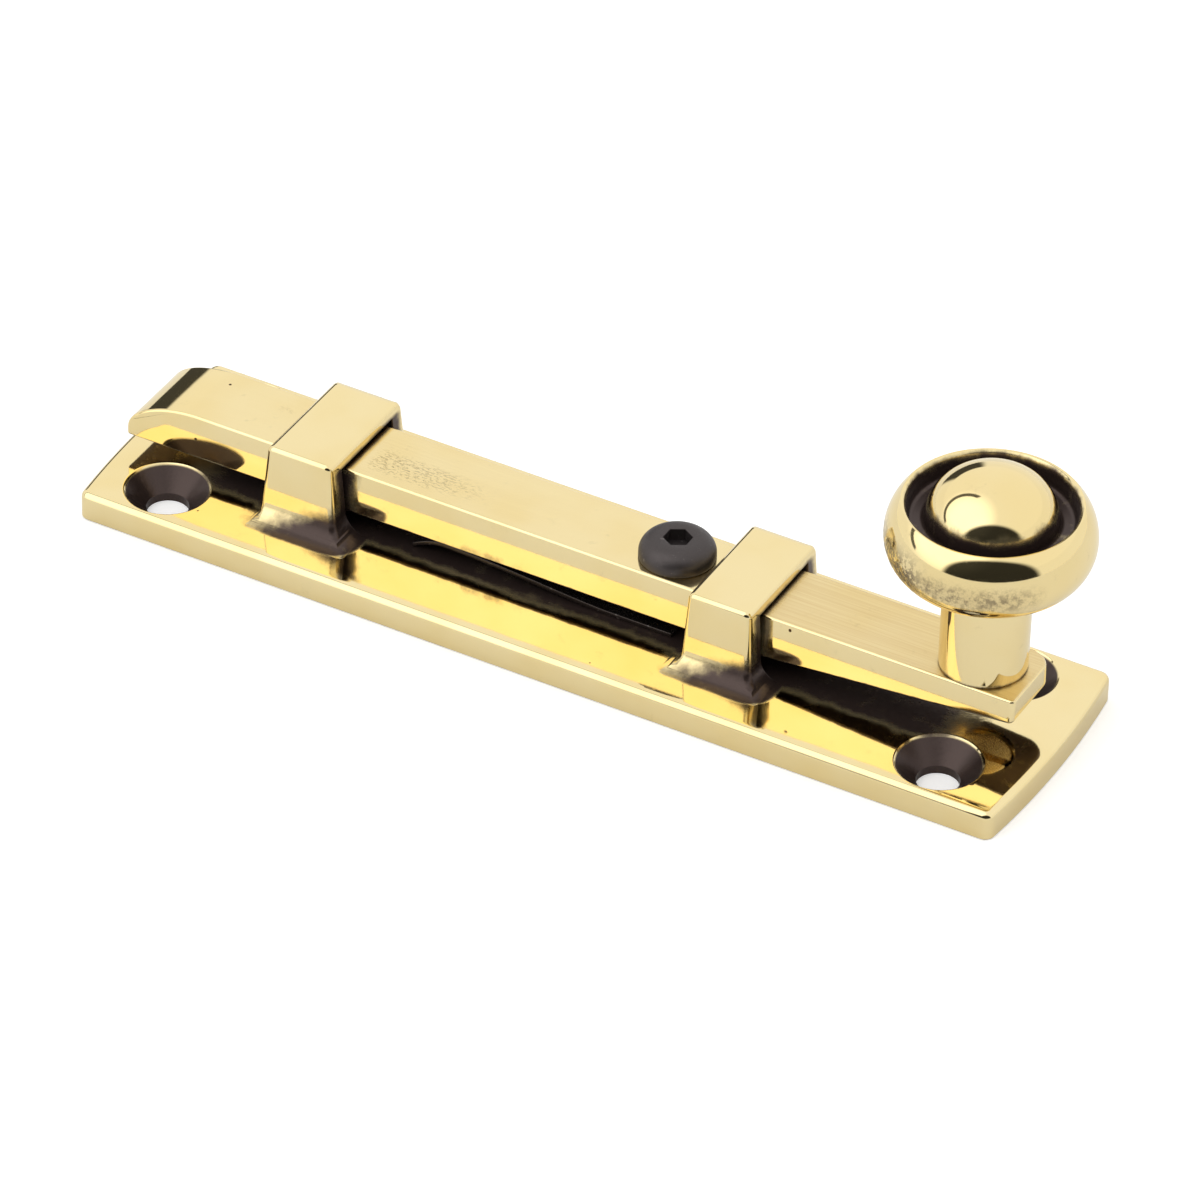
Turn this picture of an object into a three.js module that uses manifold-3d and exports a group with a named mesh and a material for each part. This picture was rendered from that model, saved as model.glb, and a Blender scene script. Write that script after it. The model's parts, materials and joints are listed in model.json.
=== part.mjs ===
// Surface slide bolt in polished brass, with a turned knob and two guides cast on its plate.
// Millimetres. The origin is at the centre of the plate's underside, +Z points off the door,
// +X points to the knob end, and the bolt is thrown towards -X.

import * as THREE from 'three';
import { mergeVertices } from 'three/addons/utils/BufferGeometryUtils.js';
import Module from 'manifold-3d';

// Plate
const plateLength = 102; // over the bowed ends
const plateWidth = 25.9;
const plateThick = 3.1;
const plateEndBow = 0.8; // how far each end bows out past its corners
const plateCornerRadius = 0.9;
const plateEdgeRound = 0.8; // rolled top edge
const plateFootChamfer = 0.2;

// Countersunk fixing holes
const noseHoleFromEnd = 7.95; // plate end to the middle of the hole
const knobHoleFromEnd = 8.75;
const holeFromSide = 5.05;
const holeBore = 4.25;
const countersinkWidth = 8.6;

// Sliding bar
const barWidth = 9;
const barThick = 4.8;
const barFloat = 1.95; // gap between the plate and the underside of the bar
const barNoseSetback = 1.2; // from the plate's nose end
const barTailSetback = 3.05; // from the plate's knob end
const barEdgeRound = 0.45;
const noseLength = 8.3; // length of the rounded nose
const noseFlat = 0.85; // upright part of the nose, above the underside
const tailThick = 2.5; // the underside rises towards the tail
const tailCornerNear = 0.5;
const tailCornerFar = 2.3;
const barHoleClearance = 0.3;

// Guides
const slideClearance = 0.3; // all round the bar
const guideWall = 2.1;
const guideRoof = 1.4;
const noseGuideFromEnd = 22.35; // plate end to the middle of the guide
const noseGuideLength = 7.2;
const noseGuideDraft = 0.55; // growth of each end from top to foot
const knobGuideFromEnd = 33.25;
const knobGuideLength = 6.8;
const knobGuideDraft = 0.35;
const guideSideDraft = 0.3;
const guideCornerRadius = 0.6;
const guideTopRound = 1;
const guideFootFillet = 2.3; // along the sides of both guides
const noseGuideFillets = { left: 0.8, right: 2.3 }; // at the ends, towards the nose and the knob
const knobGuideFillets = { left: 1.5, right: 2 };
const guideFilletStart = 0.2; // radians up the fillet, so that it meets the plate with a step

// Knob
const knobFromTail = 5.4; // tail of the bar to the axis of the knob
const stemWidth = 8.6;
const stemHeight = 10.8; // bar to the underside of the head
const stemFillet = 0.2;
const headWidth = 20.2;
const headUnderRise = 4.1; // underside to the widest part
const headCrownRise = 4.8; // widest part to the top of the rim's full curve
const headCurveWidth = 3.85; // radial size of the rim's curve
const rimWidth = 1.8; // widest part in to the mouth of the groove
const grooveWidth = 1.95;
const grooveDepth = 2.15; // below the rim
const domeRise = 3.4; // above the rim

// Knob screw, countersunk into the underside of the bar
const knobScrewWidth = 3.5;
const knobScrewHeadWidth = 6.6;
const knobScrewGrip = 6.2; // length inside the stem
const knobScrewRecess = 0.45; // head below the underside of the bar
const knobScrewSlotWidth = 1;
const knobScrewSlotDepth = 0.9;
const screwClearance = 0.3;

// Stop screw, a button head with a hex socket
const stopScrewWidth = 4;
const stopScrewHeadWidth = 7.6;
const stopScrewHeadHeight = 2.2;
const stopScrewRim = 0.35; // upright band round the foot of the head
const stopScrewSocket = 2.5; // across flats
const stopScrewSocketDepth = 1.3;
const stopScrewLength = 4.2;
const stopGap = 0.6; // head to the knob guide when the bolt is drawn back

// Leaf spring, which presses the bar up against the guides
const springWidth = 8;
const springThick = 0.5;
const springEndGap = 6.45; // fixed end to the middle of the knob guide
const springFlat = 7;
const springSlope = 18.4; // flat to crown
const springTip = 3.3; // crown to curled tip
const springTipRise = 0.05; // tip above the plate
const springClearance = 0.25; // crown to bar
const springHoleClearance = 0.3;

// Rivet that holds the spring
const rivetWidth = 2.4;
const rivetHeadWidth = 4.4;
const rivetHeadHeight = 0.65;
const rivetFromSpringEnd = 3.2;
const rivetTailRecess = 0.3; // tail above the plate's underside

// Places that follow from the sizes above
const halfLength = plateLength / 2;
const halfWidth = plateWidth / 2;
const barBottom = plateThick + barFloat;
const barTop = barBottom + barThick;
const barNoseX = -halfLength + barNoseSetback;
const barTailX = halfLength - barTailSetback;
const noseGuideX = -halfLength + noseGuideFromEnd;
const knobGuideX = halfLength - knobGuideFromEnd;
const guideTop = barTop + slideClearance + guideRoof;
const guideHalfWidth = barWidth / 2 + slideClearance + guideWall;
const tailStartX = knobGuideX + knobGuideLength / 2;
const knobX = barTailX - knobFromTail;
const stopScrewX = knobGuideX - knobGuideLength / 2 - knobGuideDraft - stopGap - stopScrewHeadWidth / 2;
const springEndX = knobGuideX - springEndGap;
const rivetX = springEndX - rivetFromSpringEnd;
const springTop = plateThick + springThick;

const wasm = await Module();
wasm.setup();

// Booleans

function toSolid(geometry) {
  const bare = geometry.clone();
  bare.deleteAttribute('normal');
  bare.deleteAttribute('uv');
  const merged = mergeVertices(bare, 1e-4);
  return new wasm.Manifold(new wasm.Mesh({
    numProp: 3,
    vertProperties: new Float32Array(merged.attributes.position.array),
    triVerts: new Uint32Array(merged.index.array),
  }));
}

function toGeometry(solid) {
  const mesh = solid.getMesh();
  const geometry = new THREE.BufferGeometry();
  geometry.setAttribute('position', new THREE.BufferAttribute(mesh.vertProperties, 3));
  geometry.setIndex(new THREE.BufferAttribute(mesh.triVerts, 1));
  return geometry;
}

// Closed skin over a row of rings, each a loop of the same number of points.
// The rings turn anticlockwise seen from the last one.
function loft(rings) {
  const count = rings[0].length;
  const positions = rings.flat().flatMap((point) => [point.x, point.y, point.z]);
  const faces = [];
  for (let level = 0; level < rings.length - 1; level += 1) {
    for (let i = 0; i < count; i += 1) {
      const next = (i + 1) % count;
      const a = level * count + i;
      const b = level * count + next;
      faces.push(a, b, b + count, a, b + count, a + count);
    }
  }
  const last = (rings.length - 1) * count;
  for (let i = 1; i < count - 1; i += 1) {
    faces.push(0, i + 1, i);
    faces.push(last, last + i, last + i + 1);
  }
  const geometry = new THREE.BufferGeometry();
  geometry.setAttribute('position', new THREE.Float32BufferAttribute(positions, 3));
  geometry.setIndex(faces);
  return geometry;
}

// Points of an arc, from one angle to another, both in radians
function arc(centreX, centreY, radius, from, to, steps) {
  const points = [];
  for (let i = 0; i <= steps; i += 1) {
    const angle = from + ((to - from) * i) / steps;
    points.push([centreX + radius * Math.cos(angle), centreY + radius * Math.sin(angle)]);
  }
  return points;
}

// Rectangle with round corners, its four quarter arcs in order from the first quadrant
function roundedRectangle(halfX, halfY, radius, steps) {
  const quarter = Math.PI / 2;
  return [[1, 1], [-1, 1], [-1, -1], [1, -1]].flatMap(([sideX, sideY], i) => arc(
    sideX * (halfX - radius), sideY * (halfY - radius), radius, i * quarter, (i + 1) * quarter, steps,
  ));
}

// Plate outline: straight sides, bowed ends and round corners, taken in by an inset
function plateOutline(inset, height) {
  const bowRadius = (halfWidth ** 2 + plateEndBow ** 2) / (2 * plateEndBow);
  const bowCentre = halfLength - bowRadius;
  const cornerY = halfWidth - plateCornerRadius;
  const cornerX = bowCentre + Math.sqrt((bowRadius - plateCornerRadius) ** 2 - cornerY ** 2);
  const bowAngle = Math.atan2(cornerY, cornerX - bowCentre);
  const corner = plateCornerRadius - inset;
  const end = [
    ...arc(cornerX, -cornerY, corner, -Math.PI / 2, -bowAngle, 5),
    ...arc(bowCentre, 0, bowRadius - inset, -bowAngle, bowAngle, 10).slice(1, -1),
    ...arc(cornerX, cornerY, corner, bowAngle, Math.PI / 2, 5),
  ];
  const otherEnd = end.map(([x, y]) => [-x, -y]);
  return [...end, ...otherEnd].map(([x, y]) => new THREE.Vector3(x, y, height));
}

function plateSolid() {
  const rings = [
    plateOutline(plateFootChamfer, 0),
    plateOutline(0, plateFootChamfer),
  ];
  const steps = 4;
  for (let i = 0; i <= steps; i += 1) {
    const angle = (i / steps) * (Math.PI / 2);
    const inset = plateEdgeRound * (1 - Math.cos(angle));
    rings.push(plateOutline(inset, plateThick - plateEdgeRound * (1 - Math.sin(angle))));
  }
  return toSolid(loft(rings));
}

// How far a foot fillet stands out at a height above the plate
function filletReach(radius, up) {
  return up >= radius ? 0 : radius * (1 - Math.sqrt(1 - (1 - up / radius) ** 2));
}

// One cast guide: foot fillets, drafted sides and a rounded top
function guideSolid(centreX, length, endDraft, endFillets) {
  const rings = [];
  const ring = (left, right, halfY, radius, height) => {
    const outline = roundedRectangle((right - left) / 2, halfY, radius, 3);
    const middle = centreX + (left + right) / 2;
    rings.push(outline.map(([x, y]) => new THREE.Vector3(middle + x, y, height)));
  };
  const footX = length / 2 + endDraft;
  const footY = guideHalfWidth + guideSideDraft;
  const footRing = (up, height) => ring(
    -footX - filletReach(endFillets.left, up),
    footX + filletReach(endFillets.right, up),
    footY + filletReach(guideFootFillet, up),
    guideCornerRadius,
    height,
  );
  const filletUp = (angle) => guideFootFillet * (1 - Math.cos(angle));
  footRing(filletUp(guideFilletStart), plateThick / 2);
  const filletSteps = 6;
  for (let i = 0; i <= filletSteps; i += 1) {
    const up = filletUp(guideFilletStart + ((Math.PI / 2 - guideFilletStart) * i) / filletSteps);
    footRing(up, plateThick + up);
  }
  const topSteps = 4;
  for (let i = 0; i <= topSteps; i += 1) {
    const angle = (i / topSteps) * (Math.PI / 2);
    const inset = guideTopRound * (1 - Math.cos(angle));
    const radius = guideCornerRadius * (1 - i / (topSteps + 1));
    const endX = length / 2 - inset;
    ring(-endX, endX, guideHalfWidth - inset, radius, guideTop - guideTopRound * (1 - Math.sin(angle)));
  }
  return toSolid(loft(rings));
}

function tunnelSolid(centreX, length, endDraft) {
  const height = barTop + slideClearance - plateThick;
  const reach = length + 2 * (endDraft + guideFootFillet + 1);
  const box = new THREE.BoxGeometry(reach, barWidth + 2 * slideClearance, height);
  box.translate(centreX, 0, plateThick + height / 2);
  return toSolid(box);
}

// Solid of revolution about Z, from [radius, height] points that start and end on the axis
function turned(points, sides) {
  const profile = points.map(([radius, height]) => new THREE.Vector2(radius, height));
  return new THREE.LatheGeometry(profile, sides).rotateX(Math.PI / 2);
}

function pin(radius, from, to, sides) {
  return turned([[0, from], [radius, from], [radius, to], [0, to]], sides);
}

function fixingHole(x, y) {
  const over = 1; // past the faces that it cuts
  const sinkDepth = (countersinkWidth - holeBore) / 2; // a 90 degree cone
  const cutter = turned([
    [0, -over],
    [holeBore / 2, -over],
    [holeBore / 2, plateThick - sinkDepth],
    [countersinkWidth / 2, plateThick],
    [countersinkWidth / 2, plateThick + over],
    [0, plateThick + over],
  ], 40);
  return toSolid(cutter.translate(x, y, 0));
}

function basePlate() {
  let solid = plateSolid();
  const guides = [
    [noseGuideX, noseGuideLength, noseGuideDraft, noseGuideFillets],
    [knobGuideX, knobGuideLength, knobGuideDraft, knobGuideFillets],
  ];
  guides.forEach((guide) => { solid = solid.add(guideSolid(...guide)); });
  guides.forEach((guide) => { solid = solid.subtract(tunnelSolid(...guide)); });
  const holeX = [-halfLength + noseHoleFromEnd, halfLength - knobHoleFromEnd];
  holeX.forEach((x) => [-1, 1].forEach((side) => {
    solid = solid.subtract(fixingHole(x, side * (halfWidth - holeFromSide)));
  }));
  const rivetHole = pin(rivetWidth / 2 + springHoleClearance, -1, plateThick + 1, 20);
  return toGeometry(solid.subtract(toSolid(rivetHole.translate(rivetX, 0, 0))));
}

// Height of the bar's underside at a place along it
function barUnderside(x) {
  const share = Math.max(0, (x - tailStartX) / (barTailX - tailStartX));
  return barBottom + share * (barThick - tailThick);
}

// How far a round corner of the tail takes in the side of the bar
function cornerInset(x, radius) {
  const into = Math.max(0, x - (barTailX - radius));
  return radius - Math.sqrt(Math.max(0, radius ** 2 - into ** 2));
}

function boltBar() {
  const rings = [];
  const ring = (x, top, near, far, shrink) => {
    const bottom = barUnderside(x) + shrink;
    const height = top - shrink - bottom;
    const halfSpan = (far - near) / 2;
    const radius = Math.min(barEdgeRound, height * 0.4);
    const outline = roundedRectangle(halfSpan, height / 2, radius, 3);
    const midY = (near + far) / 2;
    rings.push(outline.map(([y, z]) => new THREE.Vector3(x, midY + y, bottom + height / 2 + z)));
  };
  const half = barWidth / 2;
  const noseSteps = 12;
  const noseRound = 0.25; // broken edge round the upright face of the nose
  ring(barNoseX, barBottom + noseFlat, -half + noseRound, half - noseRound, noseRound / 2);
  for (let i = 1; i <= noseSteps; i += 1) {
    const angle = (i / noseSteps) * (Math.PI / 2);
    const rise = (barThick - noseFlat) * Math.sin(angle);
    ring(barNoseX + noseLength * (1 - Math.cos(angle)), barBottom + noseFlat + rise, -half, half, 0);
  }
  ring(tailStartX, barTop, -half, half, 0);
  const tailSteps = 8;
  const tailRound = 0.3; // broken edge round the end face
  for (let i = 0; i <= tailSteps; i += 1) {
    const angle = (i / tailSteps) * (Math.PI / 2) * 0.96;
    const x = barTailX - tailCornerFar * (1 - Math.sin(angle));
    const near = -half + cornerInset(x, tailCornerNear);
    const shrink = i === tailSteps ? tailRound : 0;
    ring(x, barTop, near, half - cornerInset(x, tailCornerFar), shrink);
  }
  let solid = toSolid(loft(rings));
  const stopHole = pin(stopScrewWidth / 2 + barHoleClearance, barBottom - 1, barTop + 1, 24);
  solid = solid.subtract(toSolid(stopHole.translate(stopScrewX, 0, 0)));
  const seat = knobScrewSeat();
  const headRadius = knobScrewHeadWidth / 2 + screwClearance;
  const shankRadius = knobScrewWidth / 2 + screwClearance;
  const screwHole = turned([
    [0, barBottom - 1],
    [headRadius, barBottom - 1],
    [headRadius, seat.head],
    [shankRadius, seat.neck],
    [shankRadius, barTop + 1],
    [0, barTop + 1],
  ], 32);
  return toGeometry(solid.subtract(toSolid(screwHole.translate(knobX, 0, 0))));
}

// Heights of the knob screw's head and neck inside the bar
function knobScrewSeat() {
  const head = barUnderside(knobX) + knobScrewRecess;
  return { head, neck: head + (knobScrewHeadWidth - knobScrewWidth) / 2 };
}

function knob() {
  const stem = stemWidth / 2;
  const head = headWidth / 2;
  const underside = barTop + stemHeight;
  const widest = underside + headUnderRise;
  const curveCentre = head - headCurveWidth;
  const mouth = head - rimWidth;
  const crest = mouth + 0.35;
  const rimHeight = widest + headCrownRise * Math.sqrt(1 - ((crest - curveCentre) / headCurveWidth) ** 2);
  const dome = mouth - grooveWidth;
  const grooveFloor = rimHeight - grooveDepth;
  const domeTop = rimHeight + domeRise;
  const bore = knobScrewWidth / 2 + screwClearance;
  const boreTop = barTop + knobScrewGrip + screwClearance;
  const crestAngle = Math.acos((crest - curveCentre) / headCurveWidth);
  const underCurve = arc(0, 0, 1, -Math.PI / 2, 0, 7)
    .map(([x, y]) => [curveCentre + headCurveWidth * x, widest + headUnderRise * y]);
  const overCurve = arc(0, 0, 1, 0, crestAngle, 6).slice(1)
    .map(([x, y]) => [curveCentre + headCurveWidth * x, widest + headCrownRise * y]);
  const domeCurve = arc(0, 0, 1, 0, Math.PI / 2, 9)
    .map(([x, y]) => [dome * x, grooveFloor + 0.5 + (domeTop - grooveFloor - 0.5) * y]);
  domeCurve[domeCurve.length - 1][0] = 0;
  return turned([
    [0, boreTop],
    [bore, boreTop],
    [bore, barTop],
    [stem + stemFillet, barTop],
    [stem + stemFillet * 0.3, barTop + stemFillet * 0.3],
    [stem, barTop + stemFillet],
    [stem, underside - stemFillet],
    [stem + stemFillet * 0.3, underside - stemFillet * 0.3],
    [stem + stemFillet, underside],
    ...underCurve,
    ...overCurve,
    [mouth + 0.1, rimHeight - 0.12],
    [mouth - 0.15, rimHeight - 0.5],
    [mouth - 0.4, grooveFloor + 0.5],
    [mouth - 0.75, grooveFloor],
    [dome + 0.3, grooveFloor],
    ...domeCurve,
  ], 56).translate(knobX, 0, 0);
}

function knobScrew() {
  const seat = knobScrewSeat();
  const screw = turned([
    [0, seat.head],
    [knobScrewHeadWidth / 2, seat.head],
    [knobScrewWidth / 2, seat.neck],
    [knobScrewWidth / 2, barTop + knobScrewGrip],
    [0, barTop + knobScrewGrip],
  ], 28);
  const slot = new THREE.BoxGeometry(knobScrewHeadWidth + 1, knobScrewSlotWidth, 2 * knobScrewSlotDepth);
  slot.translate(0, 0, seat.head);
  return toGeometry(toSolid(screw).subtract(toSolid(slot))).translate(knobX, 0, 0);
}

function stopScrew() {
  const head = stopScrewHeadWidth / 2;
  const shank = stopScrewWidth / 2;
  const socket = stopScrewSocket / Math.sqrt(3); // half the width across corners
  const flat = socket + 0.45; // radius of the flat top round the socket
  const crown = arc(0, 0, 1, 0, Math.PI / 2, 6).map(([x, y]) => [
    flat + (head - flat) * x,
    barTop + stopScrewRim + (stopScrewHeadHeight - stopScrewRim) * y,
  ]);
  const screw = turned([
    [0, barTop - stopScrewLength],
    [shank - 0.3, barTop - stopScrewLength],
    [shank, barTop - stopScrewLength + 0.3],
    [shank, barTop],
    [head, barTop],
    ...crown,
    [0, barTop + stopScrewHeadHeight],
  ], 36);
  const hex = new THREE.CylinderGeometry(socket, socket, 2 * stopScrewSocketDepth, 6).rotateX(Math.PI / 2);
  hex.translate(0, 0, barTop + stopScrewHeadHeight);
  return toGeometry(toSolid(screw).subtract(toSolid(hex))).translate(stopScrewX, 0, 0);
}

function leafSpring() {
  const flatStart = springEndX - springFlat;
  const crownX = flatStart - springSlope;
  const tipX = crownX - springTip;
  const crownTop = barBottom - springClearance;
  const middle = new THREE.CatmullRomCurve3([
    new THREE.Vector3(springEndX, 0, springTop - springThick / 2),
    new THREE.Vector3(flatStart, 0, springTop - springThick / 2),
    new THREE.Vector3(flatStart - springSlope * 0.55, 0, (springTop + crownTop) / 2 - springThick / 2),
    new THREE.Vector3(crownX, 0, crownTop - springThick / 2),
    new THREE.Vector3(tipX, 0, plateThick + springTipRise + springThick / 2),
  ], false, 'centripetal');
  const points = middle.getPoints(28);
  const upper = [];
  const lower = [];
  points.forEach((point, i) => {
    const before = points[Math.max(0, i - 1)];
    const after = points[Math.min(points.length - 1, i + 1)];
    const along = after.clone().sub(before).normalize();
    const across = new THREE.Vector2(along.z, -along.x).multiplyScalar(springThick / 2);
    upper.push([point.x + across.x, Math.min(crownTop, point.z + across.y)]);
    lower.push([point.x - across.x, Math.max(plateThick, point.z - across.y)]);
  });
  const shape = new THREE.Shape();
  [...upper, ...lower.reverse()].forEach(([x, z], i) => (i ? shape.lineTo(x, z) : shape.moveTo(x, z)));
  shape.closePath();
  const strip = new THREE.ExtrudeGeometry(shape, { depth: springWidth, bevelEnabled: false });
  strip.rotateX(Math.PI / 2).translate(0, springWidth / 2, 0);
  const hole = pin(rivetWidth / 2 + springHoleClearance, plateThick - 1, springTop + 1, 20);
  hole.translate(rivetX, 0, 0);
  return toGeometry(toSolid(strip).subtract(toSolid(hole)));
}

function springRivet() {
  const shank = rivetWidth / 2;
  const crown = arc(0, 0, 1, 0, Math.PI / 2, 4)
    .map(([x, y]) => [(rivetHeadWidth / 2) * x, springTop + rivetHeadHeight * y]);
  crown[crown.length - 1][0] = 0;
  const geometry = turned([
    [0, rivetTailRecess],
    [shank, rivetTailRecess],
    [shank, springTop],
    ...crown,
  ], 24);
  return geometry.translate(rivetX, 0, 0);
}

const polishedBrass = () => new THREE.MeshStandardMaterial({ color: 0xd8bd72, roughness: 0.16, metalness: 1 });
const blackSteel = () => new THREE.MeshStandardMaterial({ color: 0x38343a, roughness: 0.45, metalness: 0.7 });
const springSteel = () => new THREE.MeshStandardMaterial({ color: 0x2a2522, roughness: 0.4, metalness: 0.8 });

const slideBolt = new THREE.Group();

function addPiece(name, geometry, material) {
  const mesh = new THREE.Mesh(geometry, material);
  mesh.name = name;
  slideBolt.add(mesh);
}

addPiece('base_plate', basePlate(), polishedBrass());
addPiece('bolt_bar', boltBar(), polishedBrass());
addPiece('knob', knob(), polishedBrass());
addPiece('knob_screw', knobScrew(), polishedBrass());
addPiece('stop_screw', stopScrew(), blackSteel());
addPiece('leaf_spring', leafSpring(), springSteel());
addPiece('spring_rivet', springRivet(), springSteel());

export default slideBolt;
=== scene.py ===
import json
import math

import bmesh
import bpy
from mathutils import Matrix, Vector


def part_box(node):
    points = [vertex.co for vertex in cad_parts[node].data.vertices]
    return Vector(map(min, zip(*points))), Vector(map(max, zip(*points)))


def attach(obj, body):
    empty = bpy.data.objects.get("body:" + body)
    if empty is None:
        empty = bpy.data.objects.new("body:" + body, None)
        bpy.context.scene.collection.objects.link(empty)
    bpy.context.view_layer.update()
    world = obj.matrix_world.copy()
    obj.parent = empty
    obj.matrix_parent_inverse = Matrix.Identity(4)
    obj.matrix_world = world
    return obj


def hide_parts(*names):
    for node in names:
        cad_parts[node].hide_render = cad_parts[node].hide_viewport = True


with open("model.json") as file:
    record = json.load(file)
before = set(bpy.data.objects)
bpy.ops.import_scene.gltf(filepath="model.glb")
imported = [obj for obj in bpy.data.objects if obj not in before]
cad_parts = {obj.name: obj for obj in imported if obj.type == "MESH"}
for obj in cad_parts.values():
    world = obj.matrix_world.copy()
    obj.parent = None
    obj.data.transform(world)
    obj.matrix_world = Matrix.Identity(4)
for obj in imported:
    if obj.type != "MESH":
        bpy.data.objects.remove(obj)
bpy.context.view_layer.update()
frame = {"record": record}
mm = 0.001

# Where the pieces lie, from the frame
plateLow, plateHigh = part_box("base_plate")
barLow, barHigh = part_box("bolt_bar")
knobLow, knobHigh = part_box("knob")
knobScrewLow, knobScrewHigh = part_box("knob_screw")
stopLow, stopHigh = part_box("stop_screw")
springLow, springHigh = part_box("leaf_spring")
rivetLow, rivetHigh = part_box("spring_rivet")
knobX = (knobLow.x + knobHigh.x) / 2
stopX = (stopLow.x + stopHigh.x) / 2
rivetX = (rivetLow.x + rivetHigh.x) / 2
barHalf = barHigh.y
print("frame loaded")


# Tools for shaping

def activate(piece):
    bpy.ops.object.select_all(action="DESELECT")
    piece.select_set(True)
    bpy.context.view_layer.objects.active = piece


def startEdit(piece):
    activate(piece)
    bpy.ops.object.mode_set(mode="EDIT")


def endEdit():
    bpy.ops.object.mode_set(mode="OBJECT")


def pick(kind, test):
    # selects the corners, edges or faces of the piece in edit mode that pass the test
    bpy.ops.mesh.select_mode(type=kind)
    bpy.ops.mesh.select_all(action="DESELECT")
    mesh = bpy.context.object.data
    shape = bmesh.from_edit_mesh(mesh)
    parts = {"VERT": shape.verts, "EDGE": shape.edges, "FACE": shape.faces}[kind]
    for part in parts:
        if test(part):
            part.select_set(True)
    bmesh.update_edit_mesh(mesh)


def weighEdges(test, weight):
    # marks edges for a Bevel modifier limited by weight
    mesh = bpy.context.object.data
    shape = bmesh.from_edit_mesh(mesh)
    layers = shape.edges.layers.float
    layer = layers.get("bevel_weight_edge") or layers.new("bevel_weight_edge")
    for edge in shape.edges:
        if test(edge):
            edge[layer] = weight
    bmesh.update_edit_mesh(mesh)


def near(value, target):
    return abs(value - target) < 0.01 * mm


def bothEnds(edge, test):
    return all(test(corner.co) for corner in edge.verts)


def applyModifier(piece, kind, **settings):
    modifier = piece.modifiers.new(kind.lower(), kind)
    for name, value in settings.items():
        setattr(modifier, name, value)
    activate(piece)
    bpy.ops.object.modifier_apply(modifier=modifier.name)


def addBlock(name, low, high):
    low, high = Vector(low), Vector(high)
    bpy.ops.object.select_all(action="DESELECT")
    bpy.ops.mesh.primitive_cube_add(size=1, location=(low + high) / 2, scale=high - low)
    bpy.ops.object.transform_apply(location=True, rotation=True, scale=True)
    block = bpy.context.object
    block.name = block.data.name = name
    return block


def combine(piece, tool, operation):
    applyModifier(piece, "BOOLEAN", object=tool, operation=operation, solver="EXACT")
    bpy.data.objects.remove(tool)


def arcPoints(centre, radii, start, end, steps):
    # points of an ellipse's arc, as (radius, height), between two angles in degrees
    points = []
    for step in range(steps + 1):
        angle = math.radians(start + (end - start) * step / steps)
        points.append((centre[0] + radii[0] * math.cos(angle), centre[1] + radii[1] * math.sin(angle)))
    return points


def addTurned(name, x, profile, steps, y=0.0):
    # a turning about a vertical axis; the profile starts and ends on the axis
    bpy.ops.object.select_all(action="DESELECT")
    bpy.ops.mesh.primitive_plane_add(size=mm)
    piece = bpy.context.object
    piece.name = piece.data.name = name
    bpy.ops.object.mode_set(mode="EDIT")
    bpy.ops.mesh.select_mode(type="VERT")
    bpy.ops.mesh.select_all(action="SELECT")
    bpy.ops.mesh.merge(type="CENTER")
    bpy.ops.transform.translate(value=(x + profile[0][0], y, profile[0][1]))
    for before, after in zip(profile, profile[1:]):
        step = (after[0] - before[0], 0, after[1] - before[1])
        bpy.ops.mesh.extrude_region_move(TRANSFORM_OT_translate={"value": step})
    bpy.ops.mesh.select_all(action="SELECT")
    bpy.ops.mesh.spin(steps=steps, angle=math.tau, center=(x, y, 0), axis=(0, 0, 1))
    endEdit()
    cleanMesh(piece)
    return piece


def cleanMesh(piece):
    startEdit(piece)
    bpy.ops.mesh.select_all(action="SELECT")
    bpy.ops.mesh.remove_doubles(threshold=0.002 * mm)
    bpy.ops.mesh.normals_make_consistent(inside=False)
    endEdit()


def finishPiece(piece, node, material, smoothAngle=35):
    cleanMesh(piece)
    activate(piece)
    bpy.ops.object.shade_smooth_by_angle(angle=math.radians(smoothAngle))
    applyModifier(piece, "WEIGHTED_NORMAL", keep_sharp=True, weight=60)
    piece.data.materials.clear()
    piece.data.materials.append(material)
    body = next(body for body, nodes in frame["record"]["behaviour"]["bodies"].items() if node in nodes)
    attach(piece, body)
    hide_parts(node)
    print(f"{piece.name}: {len(piece.data.polygons)} faces")


# Tools for materials

def addNode(tree, kind, values=None, **settings):
    made = tree.nodes.new(kind)
    for name, value in settings.items():
        setattr(made, name, value)
    for name, value in (values or {}).items():
        fill(tree, made.inputs[name], value)
    return made


def fill(tree, socket, value):
    if isinstance(value, bpy.types.NodeSocket):
        tree.links.new(value, socket)
    else:
        socket.default_value = value


def sums(tree, operation, *values):
    made = tree.nodes.new("ShaderNodeMath")
    made.operation = operation
    for socket, value in zip(made.inputs, values):
        fill(tree, socket, value)
    return made.outputs[0]


def product(tree, *values):
    result = values[0]
    for value in values[1:]:
        result = sums(tree, "MULTIPLY", result, value)
    return result


def largest(tree, *values):
    result = values[0]
    for value in values[1:]:
        result = sums(tree, "MAXIMUM", result, value)
    return result


def away(tree, value, centre):
    return sums(tree, "ABSOLUTE", sums(tree, "SUBTRACT", value, centre))


def hypotenuse(tree, first, second):
    return sums(tree, "SQRT", sums(tree, "ADD", product(tree, first, first), product(tree, second, second)))


def ellipse(tree, places, centre, radii):
    # distance from the centre of an ellipse, as a share of its radius
    parts = []
    for value, middle, radius in zip(places, centre, radii):
        parts.append(sums(tree, "DIVIDE", sums(tree, "SUBTRACT", value, middle), radius))
    return hypotenuse(tree, *parts)


def ramp(tree, value, start, end, low=0.0, high=1.0):
    # a smooth step from low, at start, to high, at end
    made = addNode(tree, "ShaderNodeMapRange", {
        "Value": value, "From Min": start, "From Max": end, "To Min": low, "To Max": high,
    }, interpolation_type="SMOOTHSTEP")
    return made.outputs["Result"]


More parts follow.
